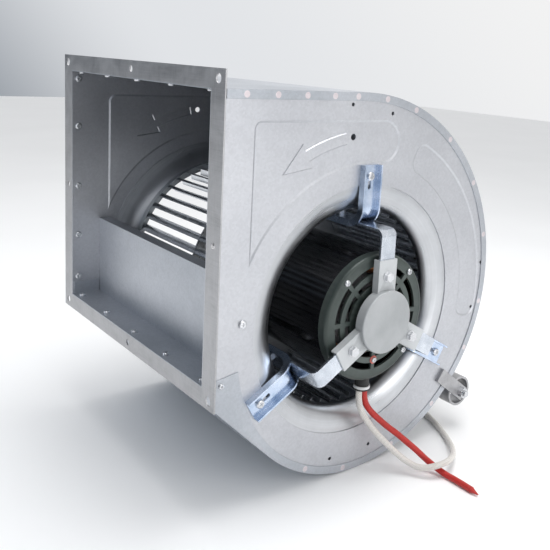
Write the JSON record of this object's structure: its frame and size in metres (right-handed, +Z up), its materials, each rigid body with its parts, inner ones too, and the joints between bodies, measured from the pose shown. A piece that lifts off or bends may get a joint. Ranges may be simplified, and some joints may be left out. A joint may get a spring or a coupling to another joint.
{
  "type": "double-inlet centrifugal blower",
  "caption": "Forward-curved centrifugal blower in a flanged sheet-metal scroll, with its motor held by three straps inside the wheel and two sleeved leads.",
  "frame": {"origin": "centre of the outlet flange's front face", "axes": "+X along the shaft, from the wheel towards the motor's room end; -Y is the direction the air leaves; +Z up"},
  "size_m": [0.4795, 0.4217, 0.4589],
  "materials": {
    "galvanised_sheet": "galvanised, fine grain",
    "flange_steel": "galvanised, slightly darker",
    "zinc_plated_fasteners": "zinc plated",
    "wheel_steel": "bright galvanised",
    "bright_steel": "ground",
    "laminations": "dull",
    "copper_windings": "enamelled copper",
    "black_enamel": "gloss black",
    "grey_green_casting": "satin grey-green",
    "grey_casting": "pale satin grey",
    "bright_zinc": "bright zinc",
    "blue_zinc": "blue passivated zinc",
    "black_rubber": "matt",
    "pale_nylon": "matt",
    "earth_red": "matt",
    "red_sleeve": "varnished sleeve",
    "white_sleeve": "woven glass sleeve"
  },
  "bodies": {
    "housing": {"bearing_outer_rings": "bright_steel", "bracket_screws": "zinc_plated_fasteners", "coil_tie": "pale_nylon", "corner_gusset_far": "galvanised_sheet", "corner_gusset_near": "galvanised_sheet", "cutoff_plate": "galvanised_sheet", "earth_screw": "zinc_plated_fasteners", "earth_washer": "earth_red", "end_bell_front": "grey_green_casting", "end_bell_rear": "grey_green_casting", "flange_bottom": "flange_steel", "flange_screws": "zinc_plated_fasteners", "flange_side_far": "flange_steel", "flange_side_near": "flange_steel", "flange_top": "flange_steel", "gland_collar": "pale_nylon", "inlet_bell_far": "galvanised_sheet", "inlet_bell_near": "galvanised_sheet", "lead_gland": "black_rubber", "motor_shell": "black_enamel", "motor_strap_back": "bright_zinc", "motor_strap_front": "bright_zinc", "motor_strap_top": "bright_zinc", "motor_through_bolts": "zinc_plated_fasteners", "outlet_floor": "galvanised_sheet", "plate_screws": "zinc_plated_fasteners", "red_lead": "red_sleeve", "red_lead_tip": "red_sleeve", "rubber_ring_front": "black_rubber", "rubber_ring_rear": "black_rubber", "scroll_lips": "galvanised_sheet", "scroll_wrapper": "galvanised_sheet", "side_plate_far": "galvanised_sheet", "side_plate_near": "galvanised_sheet", "spider_front": "grey_casting", "spider_rear": "grey_casting", "stator_core": "laminations", "stator_windings": "copper_windings", "support_bolts": "zinc_plated_fasteners", "support_bracket_back": "blue_zinc", "support_bracket_front": "blue_zinc", "support_bracket_top": "blue_zinc", "support_nuts": "zinc_plated_fasteners", "tie_lug_far": "flange_steel", "tie_lug_near": "flange_steel", "tie_nuts": "zinc_plated_fasteners", "tie_rod": "zinc_plated_fasteners", "white_lead": "white_sleeve", "white_lead_coil": "white_sleeve", "white_lead_terminal": "pale_nylon"},
    "wheel": {"wheel_disc": "wheel_steel", "wheel_hub": "wheel_steel", "hub_setscrew": "zinc_plated_fasteners", "blades_near": "wheel_steel", "blades_far": "wheel_steel", "wheel_ring_near": "wheel_steel", "wheel_ring_far": "wheel_steel", "motor_shaft": "bright_steel", "rotor_core": "laminations", "bearing_inner_rings": "bright_steel"}
  },
  "joints": [
    {"name": "wheel_spin", "type": "hinge", "parent": "housing", "child": "wheel", "pos_m": [0, 0.2015, -0.1005], "axis": [1, 0, 0], "continuous": true}
  ]
}
